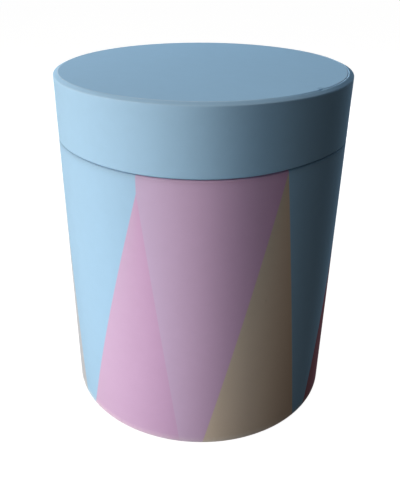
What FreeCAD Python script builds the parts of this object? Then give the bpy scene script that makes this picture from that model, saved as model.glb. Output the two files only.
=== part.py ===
import FreeCAD, Part
import math
import os

# A round rigid paperboard box for flowers, with a flush lift-off lid.
# Millimetres, +Z up. The origin is the centre of the underside.
# Every layer is its own solid: wound board tubes, board discs, the papers that cover them
# and the papers that line them. The lid slides down over the neck, an inner tube that stands
# on the base and rises above the body's rim.

# Overall sizes
OUTER_RADIUS = 82.5     # outside of the covering paper, on the body and on the lid
RIM_HEIGHT = 166.35     # top of the body's turned-over rim
LID_TOP = 201.7         # top of the lid's turned-over rim
PANEL_TOP = 202.4       # face of the panel glued on the lid

# Stock
PAPER = 0.2             # covering and lining papers
BODY_BOARD = 2.5        # wall of the body tube
LID_BOARD = 2.0         # wall of the lid ring
DISC_BOARD = 2.0        # base disc and lid disc
NECK_BOARD = 1.5        # wall of the neck tube
PANEL_INSET = 3.0       # from the lid's outside to the panel's edge

# Fits and turn-ins
LID_GAP = 0.3           # between the lid's mouth and the body's rim
NECK_RISE = 20.0        # how far the neck stands above the body's rim
RIM_TURN_IN = 12.0      # how far a covering paper runs inside over a rim
DISC_TURN_IN = 14.0     # how far a covering paper runs in over a disc
PANEL_TURN_IN = 10.0    # how far the panel's paper runs in under it
LINER_INSET = 2.0       # from an edge to the lining paper that hides the turn-in
LAP_WIDTH = 12.0        # where a covering sheet's end lies over its start
LAP_ROUND = 0.15        # how much a lap adds to the radius
BOARD_CORNER = 0.6      # softened outer corner of a tube's end

# Worked out, from the base up
TUBE_RADIUS = OUTER_RADIUS - PAPER
BODY_INSIDE = TUBE_RADIUS - BODY_BOARD
LID_INSIDE = TUBE_RADIUS - LID_BOARD
NECK_COVER_RADIUS = BODY_INSIDE - PAPER
NECK_OUTSIDE = NECK_COVER_RADIUS - PAPER
NECK_INSIDE = NECK_OUTSIDE - NECK_BOARD
LINED_INSIDE = NECK_INSIDE - PAPER
LID_LINED_INSIDE = LID_INSIDE - 2 * PAPER
BASE_BOTTOM = 2 * PAPER
BASE_TOP = BASE_BOTTOM + DISC_BOARD
NECK_TOP = RIM_HEIGHT + NECK_RISE
MOUTH = RIM_HEIGHT + LID_GAP
RING_TOP = LID_TOP - PAPER
LID_DISC_BOTTOM = RING_TOP - DISC_BOARD
PANEL_RADIUS = OUTER_RADIUS - PANEL_INSET


def turned(points, corners=None):
    """A solid of revolution about Z from a closed outline of (radius, height) points.

    corners maps the index of a point to the radius that rounds it.
    """
    corners = corners or {}
    count = len(points)
    vectors = [FreeCAD.Vector(radius, 0, height) for radius, height in points]
    stops = []
    arcs = {}
    for index, corner in enumerate(vectors):
        rounding = corners.get(index, 0.0)
        if rounding == 0.0:
            stops.append((corner, corner))
            continue
        back = (vectors[index - 1] - corner).normalize()
        ahead = (vectors[(index + 1) % count] - corner).normalize()
        half = back.getAngle(ahead) / 2
        reach = rounding / math.tan(half)
        inward = (back + ahead).normalize()
        centre = corner + inward * (rounding / math.sin(half))
        arcs[index] = centre - inward * rounding
        stops.append((corner + back * reach, corner + ahead * reach))
    edges = []
    for index, (arrive, leave) in enumerate(stops):
        if index in arcs:
            edges.append(Part.Arc(arrive, arcs[index], leave).toShape())
        following = stops[(index + 1) % count][0]
        edges.append(Part.LineSegment(leave, following).toShape())
    face = Part.Face(Part.Wire(edges))
    return face.revolve(FreeCAD.Vector(0, 0, 0), FreeCAD.Vector(0, 0, 1), 360)


def disc(radius, bottom, top):
    """A plain round disc."""
    return Part.makeCylinder(radius, top - bottom, FreeCAD.Vector(0, 0, bottom))


def lap(radius, bottom, top):
    """The strip at the back, centred on +Y, where the sheet's end lies over its start."""
    half_turn = math.degrees(LAP_WIDTH / radius) / 2
    outer = Part.makeCylinder(radius + LAP_ROUND, top - bottom, FreeCAD.Vector(0, 0, bottom),
                              FreeCAD.Vector(0, 0, 1), 2 * half_turn)
    inner = disc(radius - PAPER / 2, bottom, top)
    strip = outer.cut(inner)
    strip.rotate(FreeCAD.Vector(0, 0, 0), FreeCAD.Vector(0, 0, 1), 90 - half_turn)
    return strip


def body_tube():
    """Wound board tube that is the box's wall."""
    top = RIM_HEIGHT - PAPER
    outline = [(BODY_INSIDE, BASE_BOTTOM), (TUBE_RADIUS, BASE_BOTTOM),
               (TUBE_RADIUS, top), (BODY_INSIDE, top)]
    return turned(outline, {1: BOARD_CORNER, 2: BOARD_CORNER})


def base_board():
    """Board disc pushed into the foot of the body tube."""
    return disc(BODY_INSIDE, BASE_BOTTOM, BASE_TOP)


def neck_tube():
    """Inner tube that stands on the base and centres the lid."""
    top = NECK_TOP - PAPER
    outline = [(NECK_INSIDE, BASE_TOP), (NECK_OUTSIDE, BASE_TOP),
               (NECK_OUTSIDE, top), (NECK_INSIDE, top)]
    return turned(outline)


def body_wrap():
    """Printed sheet round the body, turned in over the rim and in under the base."""
    over = BOARD_CORNER + PAPER
    turn_in_end = RIM_HEIGHT - RIM_TURN_IN
    foot_end = OUTER_RADIUS - DISC_TURN_IN
    outline = [(foot_end, PAPER), (OUTER_RADIUS, PAPER),
               (OUTER_RADIUS, RIM_HEIGHT), (BODY_INSIDE - PAPER, RIM_HEIGHT),
               (BODY_INSIDE - PAPER, turn_in_end), (BODY_INSIDE, turn_in_end),
               (BODY_INSIDE, RIM_HEIGHT - PAPER), (TUBE_RADIUS, RIM_HEIGHT - PAPER),
               (TUBE_RADIUS, BASE_BOTTOM), (foot_end, BASE_BOTTOM)]
    sheet = turned(outline, {1: over, 2: over, 7: BOARD_CORNER, 8: BOARD_CORNER})
    return sheet.fuse(lap(OUTER_RADIUS, PAPER + over, RIM_HEIGHT - over))


def neck_cover():
    """Lining paper over the neck: up its outside, over its edge and down to the base."""
    outline = [(LINED_INSIDE, BASE_TOP), (NECK_INSIDE, BASE_TOP),
               (NECK_INSIDE, NECK_TOP - PAPER), (NECK_OUTSIDE, NECK_TOP - PAPER),
               (NECK_OUTSIDE, BASE_TOP), (NECK_COVER_RADIUS, BASE_TOP),
               (NECK_COVER_RADIUS, NECK_TOP), (LINED_INSIDE, NECK_TOP)]
    return turned(outline, {6: PAPER, 7: PAPER})


def base_inner_paper():
    """Lining disc on the floor of the box."""
    return disc(LINED_INSIDE, BASE_TOP, BASE_TOP + PAPER)


def base_outer_paper():
    """Paper disc under the box. It hides the wrap's turn-in and steps up to the board."""
    edge = OUTER_RADIUS - LINER_INSET
    step = OUTER_RADIUS - DISC_TURN_IN
    step_in = step - PAPER
    outline = [(0, PAPER), (step_in - PAPER, PAPER), (step_in, 0), (edge, 0), (edge, PAPER),
               (step, PAPER), (step_in, BASE_BOTTOM), (0, BASE_BOTTOM)]
    return turned(outline)


def lid_ring():
    """Wound board ring that is the lid's wall."""
    bottom = MOUTH + PAPER
    outline = [(LID_INSIDE, bottom), (TUBE_RADIUS, bottom),
               (TUBE_RADIUS, RING_TOP), (LID_INSIDE, RING_TOP)]
    return turned(outline, {1: BOARD_CORNER, 2: BOARD_CORNER})


def lid_disc():
    """Board disc flush in the top of the ring."""
    return disc(LID_INSIDE, LID_DISC_BOTTOM, RING_TOP)


def lid_wrap():
    """Plain sheet round the lid, turned in over the top and up inside the mouth."""
    over = BOARD_CORNER + PAPER
    turn_in_end = MOUTH + RIM_TURN_IN
    top_end = OUTER_RADIUS - DISC_TURN_IN
    outline = [(top_end, LID_TOP), (OUTER_RADIUS, LID_TOP),
               (OUTER_RADIUS, MOUTH), (LID_INSIDE - PAPER, MOUTH),
               (LID_INSIDE - PAPER, turn_in_end), (LID_INSIDE, turn_in_end),
               (LID_INSIDE, MOUTH + PAPER), (TUBE_RADIUS, MOUTH + PAPER),
               (TUBE_RADIUS, RING_TOP), (top_end, RING_TOP)]
    sheet = turned(outline, {1: over, 2: over, 7: BOARD_CORNER, 8: BOARD_CORNER})
    return sheet.fuse(lap(OUTER_RADIUS, MOUTH + over, LID_TOP - over))


def panel_board():
    """Thin board disc inside the panel that is glued on the lid."""
    return disc(PANEL_RADIUS - PAPER, LID_TOP + PAPER, PANEL_TOP - PAPER)


def panel_cover():
    """Paper over the panel's face and edge, turned in under it."""
    edge = PANEL_RADIUS - PAPER
    turn_in_end = PANEL_RADIUS - PANEL_TURN_IN
    outline = [(0, PANEL_TOP - PAPER), (edge, PANEL_TOP - PAPER), (edge, LID_TOP + PAPER),
               (turn_in_end, LID_TOP + PAPER), (turn_in_end, LID_TOP), (PANEL_RADIUS, LID_TOP),
               (PANEL_RADIUS, PANEL_TOP), (0, PANEL_TOP)]
    return turned(outline, {5: PAPER, 6: PAPER})


def lid_inner_band():
    """Lining strip round the inside of the lid, lapped over the wrap's turn-in."""
    turn_in_end = MOUTH + RIM_TURN_IN
    outer = LID_INSIDE
    stepped = LID_INSIDE - PAPER
    outline = [(LID_LINED_INSIDE, MOUTH + LINER_INSET), (stepped, MOUTH + LINER_INSET),
               (stepped, turn_in_end), (outer, turn_in_end), (outer, LID_DISC_BOTTOM),
               (stepped, LID_DISC_BOTTOM), (stepped, turn_in_end + PAPER),
               (LID_LINED_INSIDE, turn_in_end)]
    return turned(outline)


def lid_inner_disc():
    """Lining disc under the lid's board disc."""
    return disc(LID_INSIDE - PAPER, LID_DISC_BOTTOM - PAPER, LID_DISC_BOTTOM)


PIECES = [body_tube, base_board, neck_tube, body_wrap, neck_cover, base_inner_paper,
          base_outer_paper, lid_ring, lid_disc, lid_wrap, panel_board, panel_cover,
          lid_inner_band, lid_inner_disc]

os.makedirs("parts", exist_ok=True)
for piece in PIECES:
    shape = piece()
    if not shape.isValid() or len(shape.Solids) != 1:
        raise ValueError(piece.__name__ + " isn't one valid solid")
    shape.exportStep("parts/" + piece.__name__ + ".step")
    print(piece.__name__, round(shape.Volume), "mm3")

print("neck to lid, on the radius:", round(LID_LINED_INSIDE - NECK_COVER_RADIUS, 3))
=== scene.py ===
"""Flower box: a round rigid paperboard box with a flush lift-off lid.

Each covering and lining paper is a closed sheet of its real thickness: an outline of radius
and height, carried round the box's axis and shaped by hand-made unevenness.
All lengths are in metres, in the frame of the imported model. Angles round the box are measured
from the side that faces -Y, and grow towards +X.
"""

import math

import bpy
import numpy as np
from bpy.props import FloatProperty, FloatVectorProperty, PointerProperty
from mathutils import Matrix, Vector


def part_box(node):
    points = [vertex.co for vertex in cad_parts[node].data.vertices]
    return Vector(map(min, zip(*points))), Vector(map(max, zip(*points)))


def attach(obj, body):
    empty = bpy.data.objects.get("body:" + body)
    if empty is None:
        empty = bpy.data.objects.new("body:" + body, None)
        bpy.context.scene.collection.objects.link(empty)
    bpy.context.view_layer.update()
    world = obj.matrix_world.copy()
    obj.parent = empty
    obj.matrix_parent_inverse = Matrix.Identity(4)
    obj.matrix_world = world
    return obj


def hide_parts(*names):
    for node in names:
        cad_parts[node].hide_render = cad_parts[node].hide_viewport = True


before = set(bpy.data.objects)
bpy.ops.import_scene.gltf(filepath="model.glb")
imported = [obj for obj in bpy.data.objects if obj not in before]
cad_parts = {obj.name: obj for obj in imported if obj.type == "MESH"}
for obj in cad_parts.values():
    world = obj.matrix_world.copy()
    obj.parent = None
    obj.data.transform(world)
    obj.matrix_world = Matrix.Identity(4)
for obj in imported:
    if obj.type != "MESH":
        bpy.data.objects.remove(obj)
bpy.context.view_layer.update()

bl_info = {
    "name": "Flower Box Papers",
    "version": (1, 0, 0),
    "blender": (4, 5, 0),
    "location": "View3D > Sidebar > Flower Box",
    "description": "Covers and lines a round paperboard flower box and sets up its studio",
    "category": "Object",
}

MM = 0.001


# ---------------------------------------------------------------- sizes from the frame

def outer_radius(node):
    """Half the width of a round node."""
    low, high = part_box(node)
    return (high.x - low.x) / 2


def bottom(node):
    """Height of a node's lowest point."""
    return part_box(node)[0].z


def top(node):
    """Height of a node's highest point."""
    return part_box(node)[1].z


PAPER = top("base_inner_paper") - bottom("base_inner_paper")
WALL_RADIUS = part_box("lid_wrap")[1].x
TUBE_RADIUS = outer_radius("body_tube")
BODY_INSIDE = outer_radius("base_board")
LID_INSIDE = outer_radius("lid_disc")
NECK_OUTSIDE = outer_radius("neck_tube")
NECK_COVER_RADIUS = outer_radius("neck_cover")
LINED_INSIDE = outer_radius("base_inner_paper")
PANEL_RADIUS = outer_radius("panel_cover")
FOOT = bottom("body_wrap")
RIM = top("body_wrap")
MOUTH = bottom("lid_wrap")
LID_TOP = top("lid_wrap")
PANEL_TOP = top("panel_cover")
NECK_TOP = top("neck_cover")
FLOOR_BOARD_TOP = top("base_board")
LID_DISC_BOTTOM = bottom("lid_disc")
LINER_START = bottom("lid_inner_band")
BASE_PAPER_RADIUS = outer_radius("base_outer_paper")
GREYBOARD_NODES = ("base_board", "neck_tube", "lid_disc")


# ---------------------------------------------------------------- settings a user would change

def length(name, description, default):
    """A length setting in metres."""
    return FloatProperty(name=name, description=description, default=default,
                         min=0.0, unit="LENGTH", subtype="DISTANCE", precision=5)


def colour(name, description, default):
    """A linear colour setting."""
    return FloatVectorProperty(name=name, description=description, default=default,
                               size=3, min=0.0, max=1.0, subtype="COLOR")


def watts(name, description, default):
    """A lamp's power setting."""
    return FloatProperty(name=name, description=description, default=default,
                         min=0.0, subtype="POWER")


class FlowerBoxSizes(bpy.types.PropertyGroup):
    """How the papers are cut, turned and glued."""
    foot_rounding: length("Foot rounding", "Softened corner of the body's foot", 0.5 * MM)
    rim_rounding: length("Rim rounding", "Softened edge of the body's rim", 1.0 * MM)
    mouth_rounding: length("Mouth rounding", "Softened edge of the lid's mouth", 0.6 * MM)
    top_rounding: length("Top rounding", "Softened top edge of the lid", 0.45 * MM)
    panel_rounding: length("Panel rounding", "Softened edge of the raised panel", 1.0 * MM)
    rim_turn_in: length("Rim turn-in", "How far a covering runs inside over a rim", 12 * MM)
    disc_turn_in: length("Disc turn-in", "How far a covering runs in over a disc", 14 * MM)
    panel_turn_in: length("Panel turn-in", "How far the panel's paper runs in under it", 10 * MM)
    lap_width: length("Lap width", "Where a sheet's end lies over its start", 12 * MM)
    lap_rise: length("Lap rise", "How much the lap adds to the radius", 0.15 * MM)
    waviness: length("Waviness", "Depth of the wound board's gentle waves", 0.12 * MM)
    cut_warp: length("Cut warp", "How far the cut between body and lid wanders", 2.05 * MM)
    cut_ease: length("Cut ease", "How far each edge stands back from the cut", 0.05 * MM)
    rim_lift: length("Rim lift", "How far the lid's rim rises beside the panel", 0.8 * MM)
    rim_fall: length("Rim fall", "How far the lid's rim falls away at its outer edge", 0.5 * MM)
    panel_flare: length("Panel flare", "How far the foot of the panel's edge spreads", 1.0 * MM)
    pleat_height: length("Pleat height", "Height of the pleats in the turned-over paper", 0.05 * MM)
    panel_shift: length("Panel shift", "How far the panel is glued off centre, to -X", 0.45 * MM)


class FlowerBoxColours(bpy.types.PropertyGroup):
    """Inks, papers and board, as linear colours."""
    blue: colour("Lid blue", "Plain covering of the lid", (0.294, 0.520, 0.746))
    sky: colour("Sky", "Pale blue ground of the printed sheet", (0.296, 0.522, 0.750))
    # Pink, mauve and beige each come as a pair: the ink at the right is painted light and shade,
    # standing in for how the ink at the left looks where the wall turns away from the key lamp.
    pink: colour("Pink", "Triangle left of the front, at its left", (0.494, 0.386, 0.594))
    pink_shaded: colour("Orchid", "The same triangle at its right", (0.500, 0.344, 0.572))
    mauve: colour("Mauve", "Ground between two triangles, at its left", (0.461, 0.396, 0.606))
    mauve_shaded: colour("Rose mauve", "The same ground at its right", (0.585, 0.372, 0.595))
    sand: colour("Sand", "Triangle right of the front, at its left", (0.550, 0.492, 0.412))
    beige: colour("Beige", "The same triangle at its right", (0.640, 0.515, 0.405))
    coral: colour("Coral", "Triangle on the right side", (0.370, 0.173, 0.228))
    cream: colour("Cream", "Triangle on the left side", (0.409, 0.475, 0.546))
    lining: colour("Lining", "White lining paper", (0.80, 0.79, 0.76))
    core: colour("Paper core", "Bare paper at cut and rubbed edges", (0.82, 0.84, 0.85))
    greyboard: colour("Greyboard", "Recycled board of the tubes and discs", (0.26, 0.24, 0.21))
    backdrop: colour("Backdrop", "Pale studio floor and sweep", (0.12, 0.12, 0.12))


class FlowerBoxStudio(bpy.types.PropertyGroup):
    """Lamps and camera."""
    key_power: watts("Key power", "Watts of the warm lamp at the left", 19.2)
    back_power: watts("Back power", "Watts of the lamp behind the box", 5.0)
    side_power: watts("Side power", "Watts of the lamp at the right rear", 4.0)
    top_power: watts("Top power", "Watts of the lamp overhead", 1.7)
    fill_power: watts("Fill power", "Watts of the small low lamp in front", 0.3)
    ambient: FloatProperty(name="Ambient", description="Strength of the light from all round",
                           default=0.018, min=0.0)
    lens: FloatProperty(name="Lens", description="Focal length of the camera, in millimetres",
                        default=44.36, min=1.0, subtype="DISTANCE_CAMERA")


def sizes():
    """The lengths now set in the panel."""
    return bpy.context.scene.flower_box_sizes


def colours():
    """The colours now set in the panel."""
    return bpy.context.scene.flower_box_colours


def studio():
    """The lamp and camera settings now set in the panel."""
    return bpy.context.scene.flower_box_studio


# ---------------------------------------------------------------- outlines and surfaces

ARC_STEPS = 6           # faces across a rounded corner
CLOSING_STRIP = 0.03    # degrees, the last strip of a turn
CREASE = math.radians(38)
FLAT_STEP = 8 * MM      # spacing on flat or hidden runs
WALL_STEP = 4 * MM      # spacing up a wall
TURN_STEP = 3 * MM      # spacing on a turned-in margin
EDGE_STEP = 0.4 * MM    # spacing beside a visible edge
FINE_STEP = 0.35 * MM   # spacing over a pimple


def outline(corners, closed=True):
    """Radii and heights of an outline through (radius, height, rounding, spacing) corners.

    A corner with a rounding becomes a circular arc tangent to both its runs. The run that
    follows a corner is divided into equal steps no longer than that corner's spacing.
    """
    points = np.array([corner[:2] for corner in corners], float)
    count = len(points)
    arcs = []
    for index, (_, _, rounding, _) in enumerate(corners):
        here = points[index]
        if rounding <= 0.0:
            arcs.append(here[None, :])
            continue
        back = points[index - 1] - here
        ahead = points[(index + 1) % count] - here
        back = back / np.linalg.norm(back)
        ahead = ahead / np.linalg.norm(ahead)
        half = math.acos(float(np.clip(back @ ahead, -1, 1))) / 2
        middle = (back + ahead) / np.linalg.norm(back + ahead)
        centre = here + middle * rounding / math.sin(half)
        start = here + back * rounding / math.tan(half) - centre
        end = here + ahead * rounding / math.tan(half) - centre
        turn = math.pi - 2 * half
        share = np.linspace(0, 1, ARC_STEPS + 1)[:, None]
        blend = (np.sin((1 - share) * turn) * start + np.sin(share * turn) * end) / math.sin(turn)
        arcs.append(centre + blend)
    pieces = []
    for index, arc in enumerate(arcs):
        pieces.append(arc)
        if not closed and index == count - 1:
            break
        spacing = corners[index][3]
        leave, arrive = arc[-1], arcs[(index + 1) % count][0]
        steps = max(1, math.ceil(np.linalg.norm(arrive - leave) / spacing))
        share = np.linspace(0, 1, steps + 1)[1:-1, None]
        pieces.append(leave + (arrive - leave) * share)
    path = np.concatenate(pieces)
    return path[:, 0], path[:, 1]


def angles(start, fine=(), step=1.0, fine_step=0.25, fine_half=3.0):
    """Angles in degrees once round from start, closer together round each fine angle.

    The turn ends just short of start, so that the last strip, which closes the surface, can
    be the face of a step.
    """
    end = start + 360.0 - CLOSING_STRIP
    turn = [np.arange(start, end, step), np.array([end])]
    for middle in fine:
        middle = start + (middle - start) % 360.0
        turn.append(np.arange(middle - fine_half, middle + fine_half, fine_step))
    every = np.unique(np.round(np.concatenate(turn), 4))
    return np.clip(every, start, end)


def sheet_length(radii, heights, datum):
    """Length along an outline, shifted to equal the height on its outer wall at datum."""
    runs = np.hypot(np.diff(radii), np.diff(heights))
    along = np.concatenate([[0.0], np.cumsum(runs)])
    inside = radii < radii.max() - 0.1 * PAPER
    nearest = int(np.argmin(np.abs(heights - datum) + inside))
    return along - along[nearest] + heights[nearest]


def carried_round(name, turn, radii, heights, shape=None, marks=None, along=None, closed=True):
    """A piece whose surface is an outline carried round the Z axis.

    The point at angle a and outline index k is (r sin a, -r cos a, z), where r and z are the
    outline's radius and height after shape(a, r, z) has moved them. An open outline starts and
    ends on the axis, where each end is a single pole point. The sheet map holds the length
    round the wall and the length along the outline. Each of marks, such as worn(a, r, z), is
    written as an attribute that runs from 0 to 1.
    """
    turn = np.radians(np.asarray(turn))
    columns, rows = len(turn), len(radii)
    angle = np.repeat(turn[:, None], rows, axis=1)
    radius = np.repeat(radii[None, :], columns, axis=0)
    height = np.repeat(heights[None, :], columns, axis=0)
    if shape is not None:
        radius, height = shape(angle, radius, height)
    points = np.stack([radius * np.sin(angle), -radius * np.cos(angle), height], axis=-1)
    marked = {mark: np.broadcast_to(strength(angle, radius, height), radius.shape)
              for mark, strength in (marks or {}).items()}
    index = np.arange(columns * rows).reshape(columns, rows)
    if not closed:
        points[:, 0] = [0, 0, height[:, 0].mean()]
        points[:, -1] = [0, 0, height[:, -1].mean()]
        inner = np.arange(columns * (rows - 2)).reshape(columns, rows - 2) + 2
        index = np.concatenate([np.zeros((columns, 1), int), inner, np.ones((columns, 1), int)], 1)
    following = np.roll(index, -1, axis=0)
    wrap = rows if closed else rows - 1
    ahead = np.roll(np.arange(rows), -1)[:wrap]
    here = np.arange(rows)[:wrap]
    corners = np.stack([index[:, here], following[:, here],
                        following[:, ahead], index[:, ahead]], axis=-1)
    wall = WALL_RADIUS * turn
    beyond = np.append(wall[1:], WALL_RADIUS * (turn[0] + 2 * math.pi))
    run = height if along is None else along[None, :] + height - heights[None, :]
    near, far = run[:, here], run[:, ahead].copy()
    if closed:
        far[:, -1] = near[:, -1]
    grid = np.ones((columns, wrap))
    sheet = np.stack([
        np.stack([wall[:, None] * grid, near], -1),
        np.stack([beyond[:, None] * grid, np.roll(near, -1, axis=0)], -1),
        np.stack([beyond[:, None] * grid, np.roll(far, -1, axis=0)], -1),
        np.stack([wall[:, None] * grid, far], -1)], axis=-2)
    faces, corners_map = [], []
    if closed:
        faces += corners.reshape(-1, 4).tolist()
        corners_map.append(sheet.reshape(-1, 2))
        flat_points = points.reshape(-1, 3)
    else:
        first, last = corners[:, 0][:, [0, 2, 3]], corners[:, -1][:, [0, 1, 2]]
        faces += first.tolist() + corners[:, 1:-1].reshape(-1, 4).tolist() + last.tolist()
        corners_map.append(sheet[:, 0][:, [0, 2, 3]].reshape(-1, 2))
        corners_map.append(sheet[:, 1:-1].reshape(-1, 2))
        corners_map.append(sheet[:, -1][:, [0, 1, 2]].reshape(-1, 2))
        flat_points = np.concatenate([points[0, [0, -1]], points[:, 1:-1].reshape(-1, 3)])
    mesh = bpy.data.meshes.new(name)
    mesh.from_pydata(flat_points.tolist(), [], faces)
    mesh.uv_layers.new(name="sheet")
    sheet_map = np.concatenate(corners_map).astype(np.float32)
    mesh.uv_layers["sheet"].data.foreach_set("uv", sheet_map.ravel())
    for mark, strength in marked.items():
        flat = strength.reshape(-1)
        if not closed:
            flat = np.concatenate([strength[0, [0, -1]], strength[:, 1:-1].reshape(-1)])
        written = mesh.attributes.new(mark, "FLOAT", "POINT")
        written.data.foreach_set("value", flat.astype(np.float32))
    mesh.polygons.foreach_set("use_smooth", np.ones(len(mesh.polygons), bool))
    mesh.validate()
    mesh.set_sharp_from_angle(angle=CREASE)
    mesh.update()
    piece = bpy.data.objects.new(name, mesh)
    bpy.context.scene.collection.objects.link(piece)
    return piece


def move_across(piece, distance):
    """Moves a piece's points along X."""
    places = np.empty(len(piece.data.vertices) * 3, np.float32)
    piece.data.vertices.foreach_get("co", places)
    places[0::3] += distance
    piece.data.vertices.foreach_set("co", places)
    piece.data.update()


# ---------------------------------------------------------------- unevenness of a hand-made box

# Angles and angular widths are in degrees.
CUT_RIGHT = 46.0            # middle of the cut's right swell
CUT_LEFT = -52.0            # middle of its left swell
CUT_SPREAD = 26.0
CUT_LEFT_SHARE = 0.37       # the left swell beside the right one
CUT_DROP = 0.17             # how far the rest of the cut lies lower
CUT_REACH = 30 * MM         # wall over which a cut's rise fades
LIFT_WIDTH = 1.0 * MM       # rim beside the panel that climbs
LIFT_REACH = 8 * MM         # wall over which the rim's slope fades
PANEL_SAG = 0.06 * MM
TRIM = 0.75 * MM            # how short the panel is cut at its right front
TRIM_MIDDLE = 37.0
TRIM_SPREAD = 20.0
NICK_MIDDLE = 47.3
NICK_NEAR = 1.3             # steep side of the nick
NICK_FAR = 3.0              # slack side of the nick
NICK_REACH = 4.0 * MM
NICK_DEPTH = 1.6 * MM
NICK_SINK = 0.2 * MM
SKIN = 2 * MM               # outer part of a wall that the waves move
LAP_CLIMB = 1.2             # how quickly a lapped end climbs onto its start
LAP_EDGE = 184.2            # cut end of both wraps, at the back
LAP_START = LAP_EDGE - 9.5  # where the lapped end has climbed
RIM_SHADE_REACH = 1.5 * MM    # printed wall below the rim that is darkened by painted shade from the lid's edge
BODY_PIMPLE = (24.9, 95.3 * MM, 0.8 * MM, 0.16 * MM)    # angle, height, width and rise
LID_PIMPLE = (8.3, 190.0 * MM, 0.8 * MM, 0.05 * MM)
BODY_SEED, LID_SEED, SAG_SEED, EDGE_SEED, PLEAT_SEED = 11, 29, 47, 53, 5


def smooth(share):
    """A rise from 0 to 1 that starts and ends level: 3 s^2 - 2 s^3."""
    share = np.clip(share, 0.0, 1.0)
    return share * share * (3.0 - 2.0 * share)


def bell(distance, width):
    """A bump of height 1 at distance 0 that fades over width: exp(-(d/w)^2)."""
    return np.exp(-(distance / width) ** 2)


def angle_between(angle, middle):
    """Signed angle in radians from middle, in degrees, the short way round."""
    return (angle - math.radians(middle) + math.pi) % (2 * math.pi) - math.pi


def board_waves(angle, height, seed):
    """Gentle waves of a wound tube, from 0 to 1: a sum of four slow sines of angle and height."""
    phases = np.random.default_rng(seed).uniform(0, 2 * math.pi, 4)
    waves = (np.sin(2 * angle + phases[0]) + 0.6 * np.sin(5 * angle + 18 * height + phases[1])
             + 0.35 * np.sin(11 * angle - 40 * height + phases[2])
             + 0.25 * np.sin(3 * angle + 95 * height + phases[3]))
    return 0.5 + waves / 4.4


def pimple(angle, height, middle, level, width, rise):
    """A small round bump under the paper, as a rise at each point of the wall."""
    across = angle_between(angle, middle) * WALL_RADIUS
    return rise * bell(np.hypot(across, height - level), width)


def lap_rise(angle):
    """How far a lapped sheet stands out: level, a quick climb onto its own start, then the cut."""
    width = math.degrees(sizes().lap_width / WALL_RADIUS)
    from_edge = (LAP_EDGE - np.degrees(angle)) % 360.0
    return sizes().lap_rise * smooth((width + LAP_CLIMB - from_edge) / LAP_CLIMB)


def cut_rise(angle):
    """Rise of the cut between body and lid, which swells right and left of the front.

    Both edges come from the same cut through one wound tube, so both follow it:
    w (b1 + s b2 - d), where w is the warp, b1 and b2 are bells in the angle from the middle
    of each swell, s is the left swell's share and d the drop of the level part.
    """
    right = bell(np.degrees(angle_between(angle, CUT_RIGHT)), CUT_SPREAD)
    left = bell(np.degrees(angle_between(angle, CUT_LEFT)), CUT_SPREAD)
    return sizes().cut_warp * (right + CUT_LEFT_SHARE * left - CUT_DROP)


def body_form(angle, radius, height):
    """Moves every layer of the body's wall together: slow waves inwards, and the cut at its rim.

    r' = r - waviness * waves * s((r - tube + skin) / skin), and
    z' = z + (cut rise - ease) * s((z - rim + reach) / reach), where s is the smooth rise.
    """
    outside = smooth((radius - (TUBE_RADIUS - SKIN)) / SKIN)
    drawn_in = sizes().waviness * board_waves(angle, height, BODY_SEED) * outside
    moved = cut_rise(angle) - sizes().cut_ease
    risen = moved * smooth((height - (RIM - CUT_REACH)) / CUT_REACH)
    return radius - drawn_in, height + risen


def lid_form(angle, radius, height):
    """Moves every layer of the lid's wall together: slow waves inwards, and the cut at its mouth.

    The radius moves as the body's does. The height takes the cut's rise, which fades upwards
    from the mouth, and at the top a quick climb beside the panel, less an even fall outwards.
    """
    outside = smooth((radius - (TUBE_RADIUS - SKIN)) / SKIN)
    drawn_in = sizes().waviness * board_waves(angle, 3 * height, LID_SEED) * outside
    moved = cut_rise(angle) + sizes().cut_ease
    risen = moved * smooth((MOUTH + CUT_REACH - height) / CUT_REACH)
    lift, fall = sizes().rim_lift, sizes().rim_fall
    beside = smooth((radius - PANEL_RADIUS + LIFT_WIDTH) / (1.5 * LIFT_WIDTH))
    outwards = np.clip((radius - PANEL_RADIUS) / (WALL_RADIUS - PANEL_RADIUS), 0, 1)
    upper = smooth((height - LID_TOP + LIFT_REACH) / LIFT_REACH)
    sloped = (lift * beside - (lift + fall) * outwards) * upper
    return radius - drawn_in, height + risen + sloped


def panel_form(angle, radius, height):
    """Moves board and paper of the panel together: a faint sag, a nick and an uneven edge.

    The edge is trimmed short by a bell in the angle, and nicked by a narrower one that is
    steep on its near side and slack on its far side.
    """
    upper = smooth((height - LID_TOP - PAPER) / PAPER)
    sunk = PANEL_SAG * board_waves(angle, radius * 0.5, SAG_SEED) * smooth(radius / (20 * MM)) * upper
    near_edge = smooth((radius - PANEL_RADIUS + NICK_REACH) / NICK_REACH)
    across = np.degrees(angle_between(angle, NICK_MIDDLE))
    notch = bell(across, np.where(across < 0, NICK_NEAR, NICK_FAR)) * near_edge
    trimmed = bell(np.degrees(angle_between(angle, TRIM_MIDDLE)), TRIM_SPREAD) * near_edge
    waves = sizes().waviness * board_waves(angle, 0 * height, EDGE_SEED) * near_edge
    radius = radius - waves - NICK_DEPTH * notch - TRIM * trimmed
    return radius, height - sunk - NICK_SINK * notch * upper


# ---------------------------------------------------------------- node graphs

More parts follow.
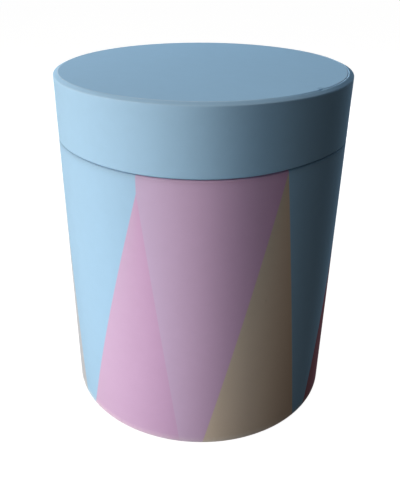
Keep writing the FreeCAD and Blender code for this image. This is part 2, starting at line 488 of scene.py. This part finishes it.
class Value:
    """A number socket of a node graph, so that shader maths reads as ordinary expressions."""

    def __init__(self, graph, socket):
        self.graph = graph
        self.socket = socket

    def _maths(self, operation, *values):
        """Adds a Math node and gives its result."""
        inputs = dict(enumerate(values))
        made = self.graph.node("ShaderNodeMath", {"operation": operation}, inputs)
        return Value(self.graph, made.outputs[0])

    def __add__(self, other):
        return self._maths("ADD", self, other)

    __radd__ = __add__

    def __sub__(self, other):
        return self._maths("SUBTRACT", self, other)

    def __rsub__(self, other):
        return self._maths("SUBTRACT", other, self)

    def __mul__(self, other):
        return self._maths("MULTIPLY", self, other)

    __rmul__ = __mul__

    def __truediv__(self, other):
        return self._maths("DIVIDE", self, other)

    def smaller(self, other):
        """The smaller of two numbers."""
        return self._maths("MINIMUM", self, other)

    def held(self):
        """The number kept from 0 to 1."""
        return self._maths("MINIMUM", self._maths("MAXIMUM", self, 0.0), 1.0)


class Graph:
    """The node graph of one new material, built through a single method."""

    def __init__(self, name):
        self.material = bpy.data.materials.new(name)
        self.material.use_nodes = True
        self.tree = self.material.node_tree
        self.tree.nodes.clear()

    def node(self, kind, settings=None, inputs=None):
        """Adds a node: its settings first, then the values or links of its sockets."""
        made = self.tree.nodes.new(kind)
        for key, value in (settings or {}).items():
            setattr(made, key, value)
        for key, value in (inputs or {}).items():
            target = made.inputs[key]
            if isinstance(value, Value):
                value = value.socket
            if isinstance(value, bpy.types.NodeSocket):
                self.tree.links.new(value, target)
            else:
                target.default_value = value
        return made

    def number(self, made, output=0):
        """One of a node's outputs, as a number."""
        return Value(self, made.outputs[output])

    def mix(self, factor, first, second):
        """A colour between two colours. Colours are sockets or triples."""
        whole = [(*c, 1.0) if isinstance(c, tuple) else c for c in (first, second)]
        made = self.node("ShaderNodeMix", {"data_type": "RGBA"},
                         {"Factor": factor, 6: whole[0], 7: whole[1]})
        return made.outputs[2]

    def shade(self, tint, factor):
        """A colour made lighter or darker by a number. The colour is a socket or a triple."""
        made = self.node("ShaderNodeVectorMath", {"operation": "SCALE"},
                         {0: tint, "Scale": factor})
        return made.outputs[0]

    def noise(self, place, scale, detail=2.0, roughness=0.5):
        """Noise from 0 to 1, about 0.5 on average."""
        made = self.node("ShaderNodeTexNoise", {},
                         {"Vector": place, "Scale": scale, "Detail": detail, "Roughness": roughness})
        return self.number(made)

    def mark(self, name):
        """The strength of one of a piece's marks."""
        made = self.node("ShaderNodeAttribute", {"attribute_name": name})
        return self.number(made, "Fac")

    def relief(self, height):
        """A normal from a height in metres."""
        bump = self.node("ShaderNodeBump", {}, {"Height": height, "Distance": 1.0, "Strength": 1.0})
        return bump.outputs["Normal"]

    def finish(self, base, roughness, normal, specular=0.2):
        """Closes the graph with one surface shader."""
        shader = self.node("ShaderNodeBsdfPrincipled", {}, {
            "Base Color": base, "Roughness": roughness, "Normal": normal,
            "Specular IOR Level": specular})
        self.node("ShaderNodeOutputMaterial", {}, {"Surface": shader.outputs[0]})
        return self.material


PRINT_EDGE = 0.12 * MM      # softness of a printed edge
RIM_SHADE_STRENGTH = 0.28        # how much the painted shade below the rim darkens at its strongest
INK_FLOOR = 0.955           # an ink's shade before the three parts below are added
MOTTLE_SHADE, CLOUD_SHADE, FIBRE_SHADE = 0.05, 0.03, 0.01
MATT = 0.66                 # roughness of laminated paper
SMOOTH_TOOTH = 0.006 * MM   # relief of covering paper
ROUGH_TOOTH = 0.012 * MM    # relief of lining paper
PULP_PALE = (0.40, 0.37, 0.32)
FLECK_DARK = (0.12, 0.11, 0.10)
FLECK_PALE = (0.55, 0.52, 0.47)
BOARD_TOOTH = 0.03 * MM


def paper_surface(graph, ink, tooth=SMOOTH_TOOTH, rubbed_to=None):
    """Matt laminated paper: faint mottle in the ink, painted shade below the body's rim where a piece
    is marked for it, fine tooth, pale rubbed edges.
    """
    place = graph.node("ShaderNodeTexCoord").outputs["Object"]
    mottle = graph.noise(place, 160.0, 3.0, 0.6)
    cloud = graph.noise(place, 22.0, 2.0, 0.5)
    fibre = graph.noise(place, 2600.0, 2.0, 0.6)
    # Painted shade: the ink is darkened just below the body's rim, standing in for the shade under
    # the lid's edge.
    rim_painted_shade = 1.0 - graph.mark("rim_painted_shade") * RIM_SHADE_STRENGTH
    even = INK_FLOOR + mottle * MOTTLE_SHADE + cloud * CLOUD_SHADE + fibre * FIBRE_SHADE
    shaded = graph.shade(ink, even * rim_painted_shade)
    worn = graph.mark("worn")
    if rubbed_to is not None:
        broken = graph.noise(place, 420.0, 4.0, 0.7)
        rubbed = (worn * (broken * 2.2 - 0.35)).held()
        shaded = graph.mix(rubbed, shaded, rubbed_to)
    roughness = MATT + cloud * 0.06 + fibre * 0.08 + worn * 0.12
    height = fibre * tooth + graph.noise(place, 420.0, 3.0, 0.5) * (1.6 * tooth)
    return graph.finish(shaded, roughness, graph.relief(height))


def plain_paper(name, ink, rubbed_to=None, tooth=SMOOTH_TOOTH):
    """A covering or lining paper of one colour."""
    return paper_surface(Graph(name), tuple(ink), tooth, rubbed_to)


def lining_paper():
    """The white lining paper, made once and shared by every lining."""
    made = bpy.data.materials.get("lining_paper")
    if made is None:
        made = plain_paper("lining_paper", colours().lining, tooth=ROUGH_TOOTH)
    return made


# Printed triangles, left to right round the sheet: left foot, apex and right foot along the
# wall, then apex height, in millimetres, the triangle's ink and the ground to its right.
TRIANGLES = (
    (-232.0, -189.0, -166.5, 161.0, "coral", "mauve"),
    (-153.5, -111.0, -88.6, 163.0, "cream", "sky"),
    (-75.9, -32.3, -10.6, 156.5, "pink", "mauve"),
    (2.9, 44.2, 66.1, 166.5, "beige", "sky"),
    (77.8, 119.9, 142.0, 160.0, "coral", "mauve"),
    (157.5, 199.5, 221.0, 164.0, "cream", "sky"),
    (235.5, 278.0, 300.0, 160.0, "pink", "sky"),
)

# The inks that a triangle fades between, from its left edge to its right edge; the fade is painted
# light and shade for the wall turning away from the key lamp.
SHADE_FADES = {"pink": ("pink", "pink_shaded"), "beige": ("sand", "beige")}


def printed_paper(name):
    """The body's sheet: leaning triangles on a ground that changes above each apex.

    A triangle is where a point is right of the line from its left foot to its apex and left
    of the line from its apex to its right foot. The ground changes on the upright line
    through each apex, and a ground that isn't sky fades towards the next apex to a second ink,
    which is painted light and shade for the wall turning away from the key lamp, as are the
    fades across the pink and beige triangles.
    """
    palette = colours()
    graph = Graph(name)
    sheet = graph.node("ShaderNodeUVMap", {"uv_map": "sheet"}).outputs["UV"]
    split = graph.node("ShaderNodeSeparateXYZ", {}, {0: sheet})
    across, up = graph.number(split, 0), graph.number(split, 1)
    inks = {ink: tuple(getattr(palette, ink))
            for ink in ("sky", "mauve", "mauve_shaded", "pink", "pink_shaded", "sand", "beige", "coral", "cream")}

    def side(distance):
        """0 to 1 across a printed edge, from a signed distance."""
        return (distance / PRINT_EDGE + 0.5).held()

    printed = inks["sky"]
    for (_, apex, _, _, _, ground), following in zip(TRIANGLES, TRIANGLES[1:]):
        if ground != "sky":
            # Painted light and shade: the ground fades to its shaded copy towards the next apex.
            share = ((across - apex * MM) / ((following[1] - apex) * MM)).held()
            tint = graph.mix(share, inks[ground], inks["mauve_shaded"])
            inside = side(across - apex * MM) * side(following[1] * MM - across)
            printed = graph.mix(inside, printed, tint)
    for left, apex, right, height, ink, _ in TRIANGLES:
        share = up / (height * MM)
        from_left = across - left * MM - share * ((apex - left) * MM)
        from_right = right * MM - across - share * ((right - apex) * MM)
        filled = inks[ink]
        # Painted light and shade: the triangle's ink fades from its left ink to its right one.
        if ink in SHADE_FADES:
            first, last = SHADE_FADES[ink]
            portion = (from_left / (from_left + from_right)).held()
            filled = graph.mix(portion, inks[first], inks[last])
        printed = graph.mix(side(from_left.smaller(from_right)), printed, filled)
    return paper_surface(graph, printed, rubbed_to=tuple(palette.core))


def greyboard(name):
    """Recycled board: grey-brown pulp with pale and dark flecks and a fibrous tooth."""
    graph = Graph(name)
    place = graph.node("ShaderNodeTexCoord").outputs["Object"]
    pulp = graph.noise(place, 60.0, 4.0, 0.6)
    flecks = graph.node("ShaderNodeTexVoronoi", {"feature": "F1"}, {"Vector": place, "Scale": 700.0})
    dark_fleck = (1.0 - graph.number(flecks) * 6.0).held()
    pale = graph.noise(place, 900.0, 3.0, 0.7)
    shaded = graph.mix(pulp * 0.35, tuple(colours().greyboard), PULP_PALE)
    shaded = graph.mix(dark_fleck * 0.5, shaded, FLECK_DARK)
    shaded = graph.mix((pale * 3.0 - 1.9).held() * 0.5, shaded, FLECK_PALE)
    height = (pulp * 0.4 + pale) * BOARD_TOOTH
    return graph.finish(shaded, 0.86 + pale * 0.1, graph.relief(height))


def dress(piece, material, slot, body, *nodes):
    """Gives a finished piece its material, and puts it on its body in place of nodes. The slot is not
    used.
    """
    piece.data.materials.append(material)
    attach(piece, body)
    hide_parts(*nodes)


# ---------------------------------------------------------------- operators, one for each piece


class FLOWERBOX_OT_body_sheet(bpy.types.Operator):
    """Wraps the body in its printed sheet, turned in over the rim and under the base"""
    bl_idname = "flowerbox.body_sheet"
    bl_label = "Printed body sheet"

    def execute(self, context):
        cut = sizes()
        foot, lip = cut.foot_rounding, cut.rim_rounding
        foot_end = WALL_RADIUS - cut.disc_turn_in
        turn_in_end = RIM - cut.rim_turn_in
        bump_angle, bump_height, bump_width, _ = BODY_PIMPLE
        round_bump = 3.5 * bump_width
        radii, heights = outline([
            (foot_end, FOOT, 0, TURN_STEP), (WALL_RADIUS, FOOT, foot, WALL_STEP),
            (WALL_RADIUS, bump_height - round_bump, 0, FINE_STEP),
            (WALL_RADIUS, bump_height + round_bump, 0, WALL_STEP),
            (WALL_RADIUS, RIM - 6 * MM, 0, 0.75 * MM),
            (WALL_RADIUS, RIM, lip, 0.5 * MM),
            (BODY_INSIDE - PAPER, RIM, PAPER, TURN_STEP),
            (BODY_INSIDE - PAPER, turn_in_end, 0, TURN_STEP),
            (BODY_INSIDE, turn_in_end, 0, TURN_STEP),
            (BODY_INSIDE, RIM - PAPER, 0, TURN_STEP),
            (TUBE_RADIUS, RIM - PAPER, lip - PAPER, WALL_STEP),
            (TUBE_RADIUS, FOOT + PAPER, foot - PAPER, TURN_STEP),
            (foot_end, FOOT + PAPER, 0, TURN_STEP)])

        def uneven(angle, radius, height):
            """The body's form, with the lap and a pimple on the sheet's outer face."""
            on_wall = radius > WALL_RADIUS - 0.6 * PAPER
            level_part = smooth((height - FOOT) / (3 * MM)) * smooth((RIM + 0.5 * MM - height) / MM)
            rise = lap_rise(angle) * level_part + pimple(angle, height, *BODY_PIMPLE)
            formed, risen = body_form(angle, radius, height)
            return formed + rise * on_wall, risen

        def rubbed(angle, radius, height):
            """Worn along the foot's corner."""
            at_foot = bell(np.hypot(radius - WALL_RADIUS, height - FOOT), 0.9 * MM)
            return np.clip(0.5 * at_foot, 0, 1)

        def rim_painted_shade(angle, radius, height):
            """Painted shade below the cut, standing in for the shade under the lid's edge:
            exp(-(distance below the rim) / reach).
            """
            below = np.maximum(RIM + cut_rise(angle) - height, 0)
            return np.exp(-below / RIM_SHADE_REACH)

        turn = angles(LAP_EDGE - 360.0, fine=(bump_angle, LAP_START))
        along = sheet_length(radii, heights, RIM / 2)
        piece = carried_round("printed_body_sheet", turn, radii, heights, uneven,
                              {"worn": rubbed, "rim_painted_shade": rim_painted_shade}, along)
        dress(piece, printed_paper("printed_paper"), "printed_paper", "box", "body_wrap")
        return {"FINISHED"}


class FLOWERBOX_OT_lid_sheet(bpy.types.Operator):
    """Wraps the lid's wall in plain paper, turned in over its top and up inside its mouth"""
    bl_idname = "flowerbox.lid_sheet"
    bl_label = "Lid sheet"

    def execute(self, context):
        cut = sizes()
        lip, shoulder = cut.mouth_rounding, cut.top_rounding
        top_end = WALL_RADIUS - cut.disc_turn_in
        turn_in_end = MOUTH + cut.rim_turn_in
        inside = LID_INSIDE - PAPER
        radii, heights = outline([
            (WALL_RADIUS, MOUTH, lip, 1.5 * MM),
            (WALL_RADIUS, MOUTH + 6 * MM, 0, WALL_STEP),
            (WALL_RADIUS, LID_PIMPLE[1] - 2.5 * MM, 0, FINE_STEP),
            (WALL_RADIUS, LID_PIMPLE[1] + 2.5 * MM, 0, 1.5 * MM),
            (WALL_RADIUS, LID_TOP, shoulder, 0.25 * MM),
            (PANEL_RADIUS - 2 * MM, LID_TOP, 0, TURN_STEP),
            (top_end, LID_TOP, 0, TURN_STEP), (top_end, LID_TOP - PAPER, 0, TURN_STEP),
            (TUBE_RADIUS, LID_TOP - PAPER, shoulder - PAPER, WALL_STEP),
            (TUBE_RADIUS, MOUTH + PAPER, lip - PAPER, TURN_STEP),
            (LID_INSIDE, MOUTH + PAPER, 0, TURN_STEP), (LID_INSIDE, turn_in_end, 0, TURN_STEP),
            (inside, turn_in_end, 0, TURN_STEP), (inside, MOUTH, PAPER, 0.5 * MM)])
        phases = np.random.default_rng(PLEAT_SEED).uniform(0, 2 * math.pi, 3)

        def uneven(angle, radius, height):
            """The lid's form, with the lap, a pimple, and low pleats in the turned-over paper."""
            level_part = smooth((height - MOUTH) / (2 * MM)) * smooth((LID_TOP - height) / (2 * MM))
            on_wall = radius > WALL_RADIUS - 0.6 * PAPER
            rise = lap_rise(angle) * level_part + pimple(angle, height, *LID_PIMPLE)
            on_top = (height > LID_TOP - 0.5 * PAPER) * smooth((WALL_RADIUS - 0.3 * MM - radius) / MM)
            pleats = 0.5 + 0.25 * (np.sin(61 * angle + phases[0]) + np.sin(83 * angle + phases[1]))
            pleats = pleats * (0.6 + 0.4 * np.sin(7 * angle + phases[2]))
            formed, risen = lid_form(angle, radius, height)
            return formed + rise * on_wall, risen - cut.pleat_height * pleats * on_top

        def rubbed(angle, radius, height):
            """Worn along the top corner."""
            at_top = bell(np.hypot(radius - WALL_RADIUS, height - LID_TOP), 0.6 * MM)
            return np.clip(0.12 * at_top, 0, 1)

        turn = angles(LAP_EDGE - 360.0, fine=(LID_PIMPLE[0], LAP_START), step=0.6)
        piece = carried_round("lid_sheet", turn, radii, heights, uneven, {"worn": rubbed})
        palette = colours()
        material = plain_paper("blue_paper", palette.blue, tuple(palette.core))
        dress(piece, material, "blue_paper", "lid", "lid_wrap")
        return {"FINISHED"}


class FLOWERBOX_OT_lid_panel(bpy.types.Operator):
    """Covers the raised round panel on the lid, with its paper turned in under the edge"""
    bl_idname = "flowerbox.lid_panel"
    bl_label = "Lid panel"

    def execute(self, context):
        cut = sizes()
        edge = PANEL_RADIUS - PAPER
        turn_in_end = PANEL_RADIUS - cut.panel_turn_in
        under = LID_TOP + PAPER
        radii, heights = outline([
            (0, PANEL_TOP - PAPER, 0, FLAT_STEP), (edge, PANEL_TOP - PAPER, 0, EDGE_STEP),
            (edge, under, 0, TURN_STEP), (turn_in_end, under, 0, TURN_STEP),
            (turn_in_end, LID_TOP, 0, TURN_STEP), (edge, LID_TOP, 0, EDGE_STEP),
            (PANEL_RADIUS + cut.panel_flare, LID_TOP, 0.05 * MM, 0.3 * MM),
            (PANEL_RADIUS, PANEL_TOP, cut.panel_rounding, EDGE_STEP),
            (PANEL_RADIUS - 6 * MM, PANEL_TOP, 0, 4 * MM), (0, PANEL_TOP, 0, 1)], closed=False)

        def rubbed(angle, radius, height):
            """Worn along the panel's edge."""
            at_edge = bell(np.hypot(radius - PANEL_RADIUS, height - PANEL_TOP), 0.45 * MM)
            return np.clip(0.25 * at_edge, 0, 1)

        turn = angles(-180.0, fine=(NICK_MIDDLE,))
        piece = carried_round("lid_panel", turn, radii, heights, panel_form, {"worn": rubbed},
                              closed=False)
        move_across(piece, -cut.panel_shift)
        palette = colours()
        material = plain_paper("panel_paper", palette.blue, tuple(palette.core))
        dress(piece, material, "blue_paper", "lid", "panel_cover")
        return {"FINISHED"}


class FLOWERBOX_OT_neck_lining(bpy.types.Operator):
    """Lines the neck: up its outside, over its edge and down inside to the floor"""
    bl_idname = "flowerbox.neck_lining"
    bl_label = "Neck lining"

    def execute(self, context):
        neck_inside = LINED_INSIDE + PAPER
        base = FLOOR_BOARD_TOP
        radii, heights = outline([
            (NECK_COVER_RADIUS, base, 0, FLAT_STEP), (NECK_COVER_RADIUS, NECK_TOP, PAPER, 0.5 * MM),
            (LINED_INSIDE, NECK_TOP, PAPER, FLAT_STEP), (LINED_INSIDE, base, 0, TURN_STEP),
            (neck_inside, base, 0, FLAT_STEP), (neck_inside, NECK_TOP - PAPER, 0, TURN_STEP),
            (NECK_OUTSIDE, NECK_TOP - PAPER, 0, FLAT_STEP), (NECK_OUTSIDE, base, 0, TURN_STEP)])

        def rubbed(angle, radius, height):
            """Worn along the neck's edge."""
            return 0.3 * bell(height - NECK_TOP, 0.6 * MM)

        piece = carried_round("neck_lining", angles(-170.0), radii, heights,
                              marks={"worn": rubbed})
        dress(piece, lining_paper(), "lining_paper", "box", "neck_cover")
        return {"FINISHED"}


class FLOWERBOX_OT_base_papers(bpy.types.Operator):
    """Lays the lining disc on the floor of the box and the paper disc under it"""
    bl_idname = "flowerbox.base_papers"
    bl_label = "Base papers"

    def execute(self, context):
        floor_low, floor_high = bottom("base_inner_paper"), top("base_inner_paper")
        radii, heights = outline([
            (0, floor_low, 0, FLAT_STEP), (LINED_INSIDE, floor_low, 0, TURN_STEP),
            (LINED_INSIDE, floor_high, 0.05 * MM, FLAT_STEP), (0, floor_high, 0, 1)], closed=False)
        floor_paper = carried_round("floor_lining", angles(-180.0), radii, heights, closed=False)
        dress(floor_paper, lining_paper(), "lining_paper", "box", "base_inner_paper")

        step = WALL_RADIUS - sizes().disc_turn_in
        board = bottom("base_board")
        low = bottom("base_outer_paper")
        radii, heights = outline([
            (0, low + PAPER, 0, FLAT_STEP), (step - 2 * PAPER, low + PAPER, 0.5 * MM, TURN_STEP),
            (step - PAPER, low, 0.5 * MM, TURN_STEP), (BASE_PAPER_RADIUS, low, 0.05 * MM, TURN_STEP),
            (BASE_PAPER_RADIUS, low + PAPER, 0, TURN_STEP), (step, low + PAPER, 0, TURN_STEP),
            (step - PAPER, board, 0, FLAT_STEP), (0, board, 0, 1)], closed=False)
        under_paper = carried_round("underside_paper", angles(-180.0), radii, heights, closed=False)
        dress(under_paper, lining_paper(), "lining_paper", "box", "base_outer_paper")
        return {"FINISHED"}


class FLOWERBOX_OT_lid_linings(bpy.types.Operator):
    """Lines the inside of the lid with a strip round the ring and a disc under the board"""
    bl_idname = "flowerbox.lid_linings"
    bl_label = "Lid linings"

    def execute(self, context):
        turned_end = MOUTH + sizes().rim_turn_in
        lined = LID_INSIDE - 2 * PAPER
        stepped = LID_INSIDE - PAPER
        radii, heights = outline([
            (LID_INSIDE, turned_end, 0, 6 * MM), (LID_INSIDE, LID_DISC_BOTTOM, 0, TURN_STEP),
            (stepped, LID_DISC_BOTTOM, 0, 6 * MM), (stepped, turned_end + PAPER, 0, TURN_STEP),
            (lined, turned_end, 0, 6 * MM), (lined, LINER_START, 0, TURN_STEP),
            (stepped, LINER_START, 0, 6 * MM), (stepped, turned_end, 0, TURN_STEP)])
        band = carried_round("lid_lining_strip", angles(-170.0), radii, heights, lid_form)
        dress(band, lining_paper(), "lining_paper", "lid", "lid_inner_band")
        low, high = bottom("lid_inner_disc"), top("lid_inner_disc")
        edge = outer_radius("lid_inner_disc")
        radii, heights = outline([
            (0, low, 0, FLAT_STEP), (edge, low, 0.05 * MM, TURN_STEP),
            (edge, high, 0, FLAT_STEP), (0, high, 0, 1)], closed=False)
        disc = carried_round("lid_lining_disc", angles(-180.0), radii, heights, closed=False)
        dress(disc, lining_paper(), "lining_paper", "lid", "lid_inner_disc")
        return {"FINISHED"}


class FLOWERBOX_OT_boards(bpy.types.Operator):
    """Winds the body's tube and the lid's ring, cuts the panel, and colours every board"""
    bl_idname = "flowerbox.boards"
    bl_label = "Boards"

    def execute(self, context):
        board = greyboard("greyboard")
        cut = sizes()
        low, high = bottom("body_tube"), top("body_tube")
        radii, heights = outline([
            (BODY_INSIDE, low, 0, TURN_STEP),
            (TUBE_RADIUS, low, cut.foot_rounding - PAPER, WALL_STEP),
            (TUBE_RADIUS, high, cut.rim_rounding - PAPER, TURN_STEP),
            (BODY_INSIDE, high, 0, WALL_STEP)])
        tube = carried_round("body_board_tube", angles(-170.0), radii, heights, body_form)
        dress(tube, board, "greyboard", "box", "body_tube")
        low, high = bottom("lid_ring"), top("lid_ring")
        radii, heights = outline([
            (LID_INSIDE, low, 0, TURN_STEP),
            (TUBE_RADIUS, low, cut.mouth_rounding - PAPER, WALL_STEP),
            (TUBE_RADIUS, high, cut.top_rounding - PAPER, EDGE_STEP),
            (LID_INSIDE, high, 0, WALL_STEP)])
        ring = carried_round("lid_board_ring", angles(-170.0), radii, heights, lid_form)
        dress(ring, board, "greyboard", "lid", "lid_ring")
        low, high = bottom("panel_board"), top("panel_board")
        edge = outer_radius("panel_board")
        radii, heights = outline([
            (0, low, 0, FLAT_STEP), (edge - 1 * MM, low, 0, 0.5 * MM), (edge, low, 0, 0.3 * MM),
            (edge, high, 0.15 * MM, EDGE_STEP), (edge - 6 * MM, high, 0, FLAT_STEP),
            (0, high, 0, 1)], closed=False)
        turn = angles(-180.0, fine=(NICK_MIDDLE,))
        panel = carried_round("panel_board_disc", turn, radii, heights, panel_form, closed=False)
        move_across(panel, -cut.panel_shift)
        dress(panel, board, "greyboard", "lid", "panel_board")
        for node in GREYBOARD_NODES:
            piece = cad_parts[node]
            piece.data.materials.clear()
            piece.data.materials.append(board)
        return {"FINISHED"}


# ---------------------------------------------------------------- studio

CAMERA_PLACE = (0.0, -0.34238, 0.26887)
CAMERA_DOWN = math.radians(27.46)
CAMERA_LEFT = math.radians(1.75)
CAMERA_SHIFT = 0.033
SENSOR = 36.0
SWEEP_REACH = 4.0
SWEEP_TOP = 5.0
SWEEP_GLOW = 0.985
WARM = (1.0, 0.80, 0.67)
COOL = (0.82, 0.92, 1.0)


def lamp(name, place, width, height, power, tint=(1.0, 1.0, 1.0), glare=True):
    """A soft rectangular lamp at place that faces the box, with its height upright.

    A lamp without glare stands for one behind a polariser: it lights, but leaves no highlight.
    """
    data = bpy.data.lights.new(name, "AREA")
    data.shape = "RECTANGLE"
    data.size, data.size_y = width, height
    data.energy = power
    data.color = tint
    light = bpy.data.objects.new(name, data)
    facing = (Vector((0.0, 0.0, PANEL_TOP / 2)) - Vector(place)).to_track_quat("-Z", "Y")
    light.matrix_world = Matrix.Translation(place) @ facing.to_matrix().to_4x4()
    light.visible_glossy = glare
    bpy.context.scene.collection.objects.link(light)


def round_the_box(azimuth, distance, height):
    """A place at an angle round the box, in degrees from -Y towards +X."""
    turn = math.radians(azimuth)
    return (distance * math.sin(turn), -distance * math.cos(turn), height)


def backdrop_material():
    """Pale matt sweep that glows a little, so that it stays white behind the box."""
    graph = Graph("backdrop")
    place = graph.node("ShaderNodeTexCoord").outputs["Object"]
    soft = graph.noise(place, 3.0, 2.0, 0.5)
    pale = graph.shade(tuple(colours().backdrop), 0.99 + soft * 0.02)
    shader = graph.node("ShaderNodeBsdfPrincipled", {}, {
        "Base Color": pale, "Roughness": 0.9, "Specular IOR Level": 0.0,
        "Emission Color": (1.0, 1.0, 1.0, 1.0), "Emission Strength": SWEEP_GLOW})
    graph.node("ShaderNodeOutputMaterial", {}, {"Surface": shader.outputs[0]})
    return graph.material


class FLOWERBOX_OT_studio(bpy.types.Operator):
    """Sets up the pale sweep, the lamps and the camera"""
    bl_idname = "flowerbox.studio"
    bl_label = "Studio"

    def execute(self, context):
        settings = studio()
        radii, heights = outline([
            (0, 0, 0, 0.25), (SWEEP_REACH, 0, 1.5, 0.5), (SWEEP_REACH, SWEEP_TOP, 3.0, 0.5),
            (0, SWEEP_TOP, 0, 1)], closed=False)
        sweep = carried_round("studio_sweep", angles(-180.0, step=4.0), radii[::-1], heights[::-1],
                              closed=False)
        sweep.data.materials.append(backdrop_material())
        sweep.visible_diffuse = False
        sweep.visible_glossy = False
        sweep.visible_shadow = False

        lamp("key_lamp", round_the_box(-72, 1.2, 0.62), 0.4, 0.4, settings.key_power, WARM)
        lamp("left_front_lamp", round_the_box(-50, 0.9, 0.4), 0.25, 0.3, 0.03 * settings.key_power)
        lamp("fill_lamp", round_the_box(-35, 0.3, 0.05), 0.12, 0.25, settings.fill_power)
        lamp("right_fill_lamp", round_the_box(20, 0.8, 0.4), 0.3, 0.3, 0.65 * settings.fill_power)
        lamp("low_fill_lamp", round_the_box(25, 0.32, 0.03), 0.12, 0.15,
             0.1 * settings.fill_power, WARM)
        lamp("left_back_lamp", round_the_box(-145, 0.9, 0.5), 0.25, 0.3, 0.6 * settings.back_power,
             glare=False)
        lamp("back_lamp", round_the_box(-165, 0.9, 0.45), 0.25, 0.3, settings.back_power,
             COOL, glare=False)
        lamp("side_lamp", round_the_box(143, 0.8, 0.15), 0.3, 0.1, settings.side_power, glare=False)
        lamp("top_lamp", (0.0, -0.01, 1.2), 0.6, 0.6, settings.top_power, COOL)

        world = bpy.data.worlds.new("studio")
        world.use_nodes = True
        background = world.node_tree.nodes["Background"]
        background.inputs["Color"].default_value = (1.0, 1.0, 1.0, 1.0)
        background.inputs["Strength"].default_value = settings.ambient
        context.scene.world = world
        context.scene.view_settings.view_transform = "Standard"
        place_camera(context.scene, settings.lens)
        return {"FINISHED"}


def place_camera(scene, lens):
    """Aims the scene's camera down and slightly left from its place in front of the box."""
    forward = Vector((-math.sin(CAMERA_LEFT) * math.cos(CAMERA_DOWN),
                      math.cos(CAMERA_LEFT) * math.cos(CAMERA_DOWN), -math.sin(CAMERA_DOWN)))
    data = bpy.data.cameras.new("camera")
    data.sensor_width = SENSOR
    data.lens = lens
    data.shift_x = CAMERA_SHIFT
    data.clip_start, data.clip_end = 0.01, 50.0
    camera = bpy.data.objects.new("camera", data)
    facing = forward.to_track_quat("-Z", "Y").to_matrix().to_4x4()
    camera.matrix_world = Matrix.Translation(CAMERA_PLACE) @ facing
    scene.collection.objects.link(camera)
    scene.camera = camera


class FLOWERBOX_PT_maker(bpy.types.Panel):
    """Lists the pieces and their settings"""
    bl_idname = "FLOWERBOX_PT_maker"
    bl_label = "Flower Box"
    bl_space_type = "VIEW_3D"
    bl_region_type = "UI"
    bl_category = "Flower Box"

    def draw(self, context):
        layout = self.layout
        for operator in PIECE_OPERATORS:
            layout.operator(operator.bl_idname)
        for group in (sizes(), colours(), studio()):
            column = layout.column(align=True)
            for name in group.__annotations__:
                column.prop(group, name)


PIECE_OPERATORS = (
    FLOWERBOX_OT_boards, FLOWERBOX_OT_body_sheet, FLOWERBOX_OT_neck_lining,
    FLOWERBOX_OT_base_papers, FLOWERBOX_OT_lid_sheet, FLOWERBOX_OT_lid_panel,
    FLOWERBOX_OT_lid_linings, FLOWERBOX_OT_studio)
CLASSES = (FlowerBoxSizes, FlowerBoxColours, FlowerBoxStudio, *PIECE_OPERATORS, FLOWERBOX_PT_maker)


def register():
    for each in CLASSES:
        bpy.utils.register_class(each)
    bpy.types.Scene.flower_box_sizes = PointerProperty(type=FlowerBoxSizes)
    bpy.types.Scene.flower_box_colours = PointerProperty(type=FlowerBoxColours)
    bpy.types.Scene.flower_box_studio = PointerProperty(type=FlowerBoxStudio)


def unregister():
    del bpy.types.Scene.flower_box_studio
    del bpy.types.Scene.flower_box_colours
    del bpy.types.Scene.flower_box_sizes
    for each in reversed(CLASSES):
        bpy.utils.unregister_class(each)


def main():
    register()
    bpy.ops.flowerbox.boards()
    bpy.ops.flowerbox.body_sheet()
    bpy.ops.flowerbox.neck_lining()
    bpy.ops.flowerbox.base_papers()
    bpy.ops.flowerbox.lid_sheet()
    bpy.ops.flowerbox.lid_panel()
    bpy.ops.flowerbox.lid_linings()
    bpy.ops.flowerbox.studio()


if __name__ == "__main__":
    main()
